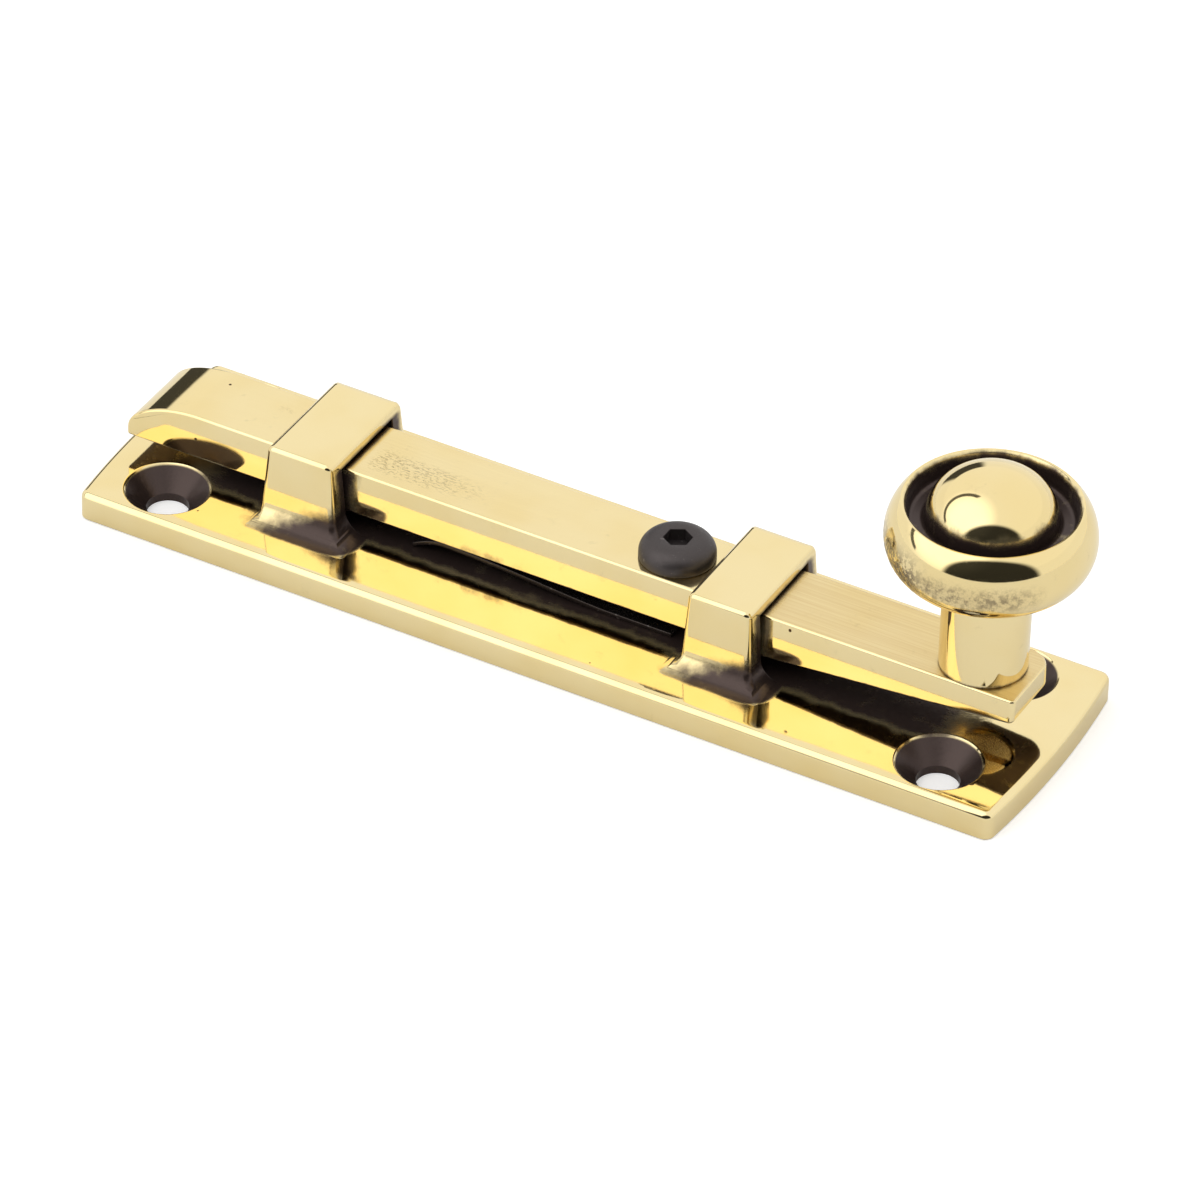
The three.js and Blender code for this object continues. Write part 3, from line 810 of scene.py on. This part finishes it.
def knobLevels():
    # heights and radii that the knob's shape and its finish share
    head = (knobHigh.x - knobLow.x) / 2
    under = knobLow.z + knob["stemHeight"]
    widest = under + knob["underRise"]
    curve = head - knob["curveWidth"]
    mouth = head - knob["rimWidth"]
    crest = mouth + 0.35 * mm
    lean = (crest - curve) / knob["curveWidth"]
    rim = widest + knob["crownRise"] * math.sqrt(1 - lean ** 2)
    return {
        "head": head, "under": under, "widest": widest, "curve": curve, "mouth": mouth, "rim": rim,
        "crestAngle": math.degrees(math.acos(lean)), "floor": rim - knob["grooveDepth"],
        "dome": mouth - knob["grooveWidth"], "top": knobHigh.z,
    }


def makeKnob():
    at = knobLevels()
    foot, stem, fillet, bore = knobLow.z, knob["stem"] / 2, knob["stemFillet"], knob["bore"] / 2
    curveAt = (at["curve"], at["widest"])
    domeFoot = at["floor"] + 0.5 * mm
    profile = [
        (0, foot + knob["boreDepth"]), (bore, foot + knob["boreDepth"]), (bore, foot),
        (stem - fillet, foot),
        *arcPoints((stem - fillet, foot + fillet), (fillet, fillet), -90, 0, 4)[1:],
        *arcPoints((stem + fillet, at["under"] - fillet), (fillet, fillet), 180, 90, 5),
        *arcPoints(curveAt, (knob["curveWidth"], knob["underRise"]), -90, 0, 20),
        *arcPoints(curveAt, (knob["curveWidth"], knob["crownRise"]), 0, at["crestAngle"], 18)[1:],
        (at["mouth"] + 0.18 * mm, at["rim"] - 0.02 * mm),
        (at["mouth"], at["rim"] - 0.14 * mm),
        (at["mouth"] - 0.14 * mm, at["rim"] - 0.42 * mm),
        (at["mouth"] - 0.24 * mm, at["rim"] - 0.9 * mm),
        *arcPoints((at["mouth"] - 0.85 * mm, at["floor"] + 0.6 * mm), (0.55 * mm, 0.6 * mm), 0, -90, 6),
        *arcPoints((at["dome"] + 0.5 * mm, domeFoot), (0.5 * mm, 0.5 * mm), -90, -180, 5),
        *arcPoints((0, domeFoot), (at["dome"], at["top"] - domeFoot), 0, 90, 30)[1:-1],
        (0, at["top"]),
    ]
    body = addTurned("knobTurning", knobX, profile, 128)
    finishPiece(body, "knob", makeKnobBrass(at))


knobStain = {
    # lengths in millimetres; a pair is where a fade starts and ends
    "mouth": (-0.1, 0.35),  # out from the mouth of the groove
    "floor": (-0.5, -0.3),  # above the floor of the groove
    "domeSide": (1.1, 3.0),
    "domeFoot": (0.25, 0.5),  # out from the dome
    "rimSide": (-1.1, -0.45),  # above the rim
    "stemRing": (4.2, 5.4),
    "underFade": (0.05, 0.5),
    "underShare": 0.9,
    "foot": (0.1, 0.6),
    "footShare": 0.7,
    "scatter": 0.35,
    "rubbedSide": (-0.88, -0.47),  # towards the left of the rim
    "rubbedReach": (5.6, 8.0),
    "rubbedHigh": (-0.5, 2.6),
    "rubbedSpots": (0.42, 0.54),
    "scuffedSide": (0.2, -0.98),
    "scuffedReach": (6.5, 9.6),
    "scuffedDrop": 0.4,  # below the widest part
    "scuffedBand": (0.3, 2.0),
    "scuffedSpots": (0.42, 0.62),
    "scuffedShares": (0.15, 0.75),
    "scuffedSatin": 0.35,
    "scuffedTone": 0.4,
    "patchShare": 0.85,
    "waveShare": 0.5,
    "bump": 0.02 * mm,
}


def towardSide(tree, x, y, side):
    return sums(tree, "MULTIPLY_ADD", x, side[0], product(tree, y, side[1]))


def fade(tree, value, level, ends, low=0.0, high=1.0):
    # a ramp whose ends are measured from a level
    return ramp(tree, value, level + ends[0], level + ends[1], low, high)


def makeKnobBrass(at):
    material, tree, shader, place = startMaterial("knobBrass")
    centred = mapped(tree, place, location=(-knobX / mm, 0, 0))
    x, y, z = axesOf(tree, centred)
    radius = hypotenuse(tree, x, y)
    rim, floor, mouth, dome, widest = (at[name] / mm for name in ("rim", "floor", "mouth", "dome", "widest"))
    inGroove = product(tree, fade(tree, radius, mouth, knobStain["mouth"], 1.0, 0.0),
                       fade(tree, z, floor, knobStain["floor"]))
    domeSide = fade(tree, z, floor, knobStain["domeSide"], 1.0, 0.0)
    rimSide = product(tree, fade(tree, radius, dome, knobStain["domeFoot"]),
                      fade(tree, z, rim, knobStain["rimSide"], 1.0, 0.0))
    groove = product(tree, inGroove, largest(tree, domeSide, rimSide))
    fromUnder = away(tree, z, at["under"] / mm)
    under = product(tree, ramp(tree, radius, *knobStain["stemRing"], 1.0, 0.0),
                    ramp(tree, fromUnder, *knobStain["underFade"], knobStain["underShare"], 0.0))
    foot = fade(tree, z, knobLow.z / mm, knobStain["foot"], knobStain["footShare"], 0.0)
    amount = largest(tree, groove, under, foot)
    raggedInputs = {"Place": place, "Amount": amount, "Scatter": knobStain["scatter"]}
    ragged = useGroup(tree, raggedEdge, raggedInputs)["Mask"]
    spots = noise(tree, place, 1.5, 5.0, 0.72)
    leftward = towardSide(tree, x, y, knobStain["rubbedSide"])
    rubbed = product(tree, ramp(tree, leftward, *knobStain["rubbedReach"]),
                     fade(tree, z, widest, knobStain["rubbedHigh"], 1.0, 0.0))
    forward = towardSide(tree, x, y, knobStain["scuffedSide"])
    fromBand = away(tree, z, widest - knobStain["scuffedDrop"])
    band = ramp(tree, fromBand, *knobStain["scuffedBand"], 1.0, 0.0)
    scuffed = product(tree, ramp(tree, forward, *knobStain["scuffedReach"]), band)
    worn = ramp(tree, spots, *knobStain["scuffedSpots"], *knobStain["scuffedShares"])
    patches = largest(tree, product(tree, rubbed, ramp(tree, spots, *knobStain["rubbedSpots"])),
                      product(tree, scuffed, worn))
    patinaAndShade = largest(tree, ragged, product(tree, patches, knobStain["patchShare"]))
    pitMask = useGroup(tree, pits, {"Place": place, "Spacing": 2.2, "Share": 0.08, "Width": 0.12})["Mask"]
    satin = product(tree, scuffed, knobStain["scuffedSatin"])
    polish = finishBrass(tree, shader, place, patinaAndShade, satin, knobStain["scuffedTone"], pitMask)
    waves = addBump(tree, shader, polish["Height"], brass["waveHeight"] * knobStain["waveShare"])
    skin = addBump(tree, shader, product(tree, spots, patinaAndShade), knobStain["bump"], before=waves)
    tree.links.new(addBump(tree, shader, pitMask, -brass["pitDepth"], before=skin), shader.inputs["Normal"])
    return material


# Screws, spring and rivet

metals = {
    "black": (0.082, 0.071, 0.069, 1),
    "worn": (0.20, 0.18, 0.17, 1),
    "spring": (0.05, 0.04, 0.036, 1),
    "brass": (0.80, 0.62, 0.33, 1),
}


def makeMetal(name, dark, light, roughness, wear):
    material, tree, shader, place = startMaterial(name)
    clouds = noise(tree, place, 1.4, 4.0, 0.65)
    scuffs = ramp(tree, clouds, 0.66 - wear, 0.8 - wear)
    tree.links.new(mixColours(tree, scuffs, dark, light), shader.inputs["Base Color"])
    fine = noise(tree, place, 9.0, 3.0)
    tree.links.new(ramp(tree, fine, 0.3, 0.7, roughness - 0.06, roughness + 0.1), shader.inputs["Roughness"])
    shader.inputs["Metallic"].default_value = 0.85
    tree.links.new(addBump(tree, shader, fine, 0.012 * mm), shader.inputs["Normal"])
    return material


stopScrew = {
    "headRim": 0.45 * mm,
    "socket": 2.5 * mm,  # across flats
    "socketDepth": 1.3 * mm,
    "flat": 0.4 * mm,  # round the socket
    "shank": 4.0 * mm,
    "edge": 0.12 * mm,
}


def makeStopScrew():
    head = (stopHigh.x - stopLow.x) / 2
    seat, top, foot = barHigh.z, stopHigh.z, stopLow.z
    socket = stopScrew["socket"] / math.sqrt(3)
    flat, shank, edge = socket + stopScrew["flat"], stopScrew["shank"] / 2, stopScrew["edge"]
    rimTop = seat + stopScrew["headRim"]
    profile = [
        (0, foot), (shank - 0.3 * mm, foot), (shank, foot + 0.3 * mm), (shank, seat), (head - edge, seat),
        *arcPoints((head - edge, seat + edge), (edge, edge), -90, 0, 3)[1:],
        (head, rimTop - edge),
        *arcPoints((flat, rimTop), (head - flat, top - rimTop), 8, 90, 16),
        (0, top),
    ]
    body = addTurned("stopScrewHead", stopX, profile, 72)
    bpy.ops.object.select_all(action="DESELECT")
    depth = stopScrew["socketDepth"]
    bpy.ops.mesh.primitive_cylinder_add(vertices=6, radius=socket, depth=2 * depth, location=(stopX, 0, top))
    bpy.ops.object.transform_apply(location=True, rotation=True, scale=True)
    tool = bpy.context.object
    combine(body, tool, "DIFFERENCE")
    bevelAt = lambda edge: (bothEnds(edge, lambda point: near(point.z, top)
                            and (point.x - stopX) ** 2 + point.y ** 2 < (socket + 0.05 * mm) ** 2))
    startEdit(body)
    pick("EDGE", bevelAt)
    bpy.ops.mesh.bevel(offset=0.1 * mm, segments=3, affect="EDGES")
    endEdit()
    finish = makeMetal("blackOxide", metals["black"], metals["worn"], 0.44, 0.05)
    finishPiece(body, "stop_screw", finish)


knobScrew = {"shank": 3.5 * mm, "slotWidth": 1.0 * mm, "slotDepth": 0.9 * mm}


def makeKnobScrew():
    head, shank = (knobScrewHigh.x - knobScrewLow.x) / 2, knobScrew["shank"] / 2
    low, top = knobScrewLow.z, knobScrewHigh.z
    profile = [
        (0, low), (head - 0.1 * mm, low), (head, low + 0.1 * mm), (shank, low + head - shank),
        (shank, top - 0.3 * mm), (shank - 0.3 * mm, top), (0, top),
    ]
    body = addTurned("knobScrewTurning", knobX, profile, 64)
    wide, deep = knobScrew["slotWidth"] / 2, knobScrew["slotDepth"]
    slot = addBlock("slot", (knobX - head - mm, -wide, low - mm), (knobX + head + mm, wide, low + deep))
    combine(body, slot, "DIFFERENCE")
    finish = makeMetal("screwBrass", metals["brass"], brass["patinaAndShade"], 0.22, 0.0)
    finishPiece(body, "knob_screw", finish)


spring = {
    "flat": 7.0 * mm,
    "tip": 3.3 * mm,
    "thick": 0.5 * mm,
    "steps": 60,
    "edge": 0.1 * mm,
    "hole": 3.0 * mm,
}


def springHeight(x):
    # height of the underside of the spring
    rest, crown = springLow.z, springHigh.z - spring["thick"]
    flatStart, crownX = springHigh.x - spring["flat"], springLow.x + spring["tip"]
    if x > flatStart:
        return rest
    if x > crownX:
        share = (flatStart - x) / (flatStart - crownX)
        return rest + (crown - rest) * (3 * share ** 2 - 2 * share ** 3) ** 0.8
    share = (crownX - x) / (crownX - springLow.x)
    return crown - (crown - rest) * share ** 1.7


def makeSpring():
    step = (springHigh.x - springLow.x) / spring["steps"]
    x = springHigh.x - step
    end = (springHigh.x, springHigh.y, springLow.z + spring["thick"])
    body = addBlock("leafSpring", (x, springLow.y, springLow.z), end)
    startEdit(body)
    pick("FACE", lambda face: face.normal.x < -0.9)
    for _ in range(spring["steps"] - 1):
        move = {"value": (-step, 0, springHeight(x - step) - springHeight(x))}
        bpy.ops.mesh.extrude_region_move(TRANSFORM_OT_translate=move)
        x -= step
    endEdit()
    applyModifier(body, "BEVEL", width=spring["edge"], segments=3, limit_method="ANGLE",
                  angle_limit=math.radians(50))
    hole = [(0, 0), (spring["hole"] / 2, 0), (spring["hole"] / 2, springHigh.z), (0, springHigh.z)]
    combine(body, addTurned("springHole", rivetX, hole, 32), "DIFFERENCE")
    body.name = body.data.name = "leafSpring"
    finish = makeMetal("springSteel", metals["spring"], metals["worn"], 0.26, 0.06)
    finishPiece(body, "leaf_spring", finish)


def makeRivet():
    head, shank = (rivetHigh.x - rivetLow.x) / 2, 1.2 * mm
    seat = springLow.z + spring["thick"]
    profile = [
        (0, rivetLow.z), (shank, rivetLow.z), (shank, seat),
        *arcPoints((0, seat), (head, rivetHigh.z - seat), 0, 90, 12)[:-1],
        (0, rivetHigh.z),
    ]
    body = addTurned("springRivet", rivetX, profile, 48)
    finish = makeMetal("rivetSteel", metals["spring"], metals["worn"], 0.32, 0.0)
    finishPiece(body, "spring_rivet", finish)


print("making the pieces")
makeBasePlate()
makeBar()
makeKnob()
makeStopScrew()
makeKnobScrew()
makeSpring()
makeRivet()


# Floor, light and camera

studio = {
    "floorSize": 6.0,
    "floorColour": (0.86, 0.86, 0.86, 1),
    "floorLift": 0.35,  # keeps the floor white in the picture
    "ceiling": 1.05,
    "key": 1.7,
    "keyAt": (-0.42, -0.62, 0.66),
    "frontAt": (0.46, -0.88, -0.05),
    "horizon": 1.0,
    "backHorizon": 0.06,
    "backX": (-0.56, -0.46),
    "backY": (0.45, 0.58),
    "skyline": (0.29, 0.33),
    "keyEdge": (0.62, 0.93),
    "seamOuter": (0.72, 0.735),
    "seamInner": (0.78, 0.79),
    "seamShade": 0.9,
    "seamFar": (0.30, 0.38),
    "seamX": (-0.32, -0.27),
    "frontEdge": (0.60, 0.70),
    "shade": 0.03,
    "seenGlow": 1.1,  # keeps the backdrop white in the picture
}


def makeFloor():
    bpy.ops.object.select_all(action="DESELECT")
    bpy.ops.mesh.primitive_plane_add(size=studio["floorSize"], location=(0, 0, plateLow.z))
    floor = bpy.context.object
    floor.name = "floor"
    material = bpy.data.materials.new("paleFloor")
    material.use_nodes = True
    tree = material.node_tree
    shader = tree.nodes["Principled BSDF"]
    shader.inputs["Base Color"].default_value = studio["floorColour"]
    shader.inputs["Roughness"].default_value = 0.9
    shader.inputs["Emission Color"].default_value = (1, 1, 1, 1)
    seen = tree.nodes.new("ShaderNodeLightPath").outputs["Is Camera Ray"]
    tree.links.new(sums(tree, "MULTIPLY", seen, studio["floorLift"]), shader.inputs["Emission Strength"])
    floor.data.materials.append(material)


def towards(tree, direction, look):
    # how closely a direction faces another, as a cosine
    made = addNode(tree, "ShaderNodeVectorMath", operation="DOT_PRODUCT")
    tree.links.new(look, made.inputs[0])
    made.inputs[1].default_value = Vector(direction).normalized()
    return made.outputs["Value"]


def makeWorld():
    # a pale ceiling with a brighter soft box and a seam beside it, a dark front and a dark low back left
    world = bpy.data.worlds.new("studio")
    world.use_nodes = True
    bpy.context.scene.world = world
    tree = world.node_tree
    look = tree.nodes.new("ShaderNodeTexCoord").outputs["Generated"]
    x, y, z = axesOf(tree, look)
    backLeft = product(tree, ramp(tree, x, *studio["backX"], 1.0, 0.0), ramp(tree, y, *studio["backY"]))
    low = ramp(tree, backLeft, 0.0, 1.0, studio["horizon"], studio["backHorizon"])
    raised = ramp(tree, z, *studio["skyline"])
    sky = sums(tree, "ADD", product(tree, raised, studio["ceiling"]),
               product(tree, sums(tree, "SUBTRACT", 1.0, raised), low))
    toKey = towards(tree, studio["keyAt"], look)
    box = ramp(tree, toKey, *studio["keyEdge"])
    seam = product(tree, ramp(tree, toKey, *studio["seamOuter"]),
                   ramp(tree, toKey, *studio["seamInner"], 1.0, 0.0))
    seam = product(tree, seam, ramp(tree, sums(tree, "SUBTRACT", y, x), *studio["seamFar"]))
    seam = product(tree, seam, ramp(tree, x, *studio["seamX"], 1.0, 0.0))
    lit = sums(tree, "ADD", sky, product(tree, box, studio["key"] - studio["ceiling"]))
    lit = product(tree, lit, sums(tree, "SUBTRACT", 1.0, product(tree, seam, studio["seamShade"])))
    front = ramp(tree, towards(tree, studio["frontAt"], look), *studio["frontEdge"])
    dimmed = product(tree, front, 1 - studio["shade"])
    lit = product(tree, lit, sums(tree, "SUBTRACT", 1.0, dimmed))
    seen = tree.nodes.new("ShaderNodeLightPath").outputs["Is Camera Ray"]
    glow = largest(tree, lit, product(tree, seen, studio["seenGlow"]))
    tree.links.new(glow, tree.nodes["Background"].inputs["Strength"])
    tree.nodes["Background"].inputs["Color"].default_value = (1, 1, 1, 1)


view = {
    "place": (294.15 * mm, -545.73 * mm, 469.98 * mm),
    "azimuth": math.radians(28.22),
    "elevation": math.radians(37.12),
    "roll": math.radians(1.45),
    "lens": 240,
}


def makeCamera():
    azimuth, elevation, roll = view["azimuth"], view["elevation"], view["roll"]
    flat = math.cos(elevation)
    back = Vector((math.sin(azimuth) * flat, -math.cos(azimuth) * flat, math.sin(elevation)))
    right = Vector((math.cos(azimuth), math.sin(azimuth), 0))
    up = back.cross(right)
    turnedRight = math.cos(roll) * right + math.sin(roll) * up
    turnedUp = math.cos(roll) * up - math.sin(roll) * right
    data = bpy.data.cameras.new("camera")
    data.lens = view["lens"]
    data.sensor_width = 36
    data.clip_start, data.clip_end = 0.05, 20
    camera = bpy.data.objects.new("camera", data)
    bpy.context.scene.collection.objects.link(camera)
    turn = Matrix((turnedRight, turnedUp, back)).transposed().to_4x4()
    camera.matrix_world = Matrix.Translation(view["place"]) @ turn
    bpy.context.scene.camera = camera


print("floor, light and camera")
makeFloor()
makeWorld()
makeCamera()
bpy.context.scene.view_settings.view_transform = "Standard"
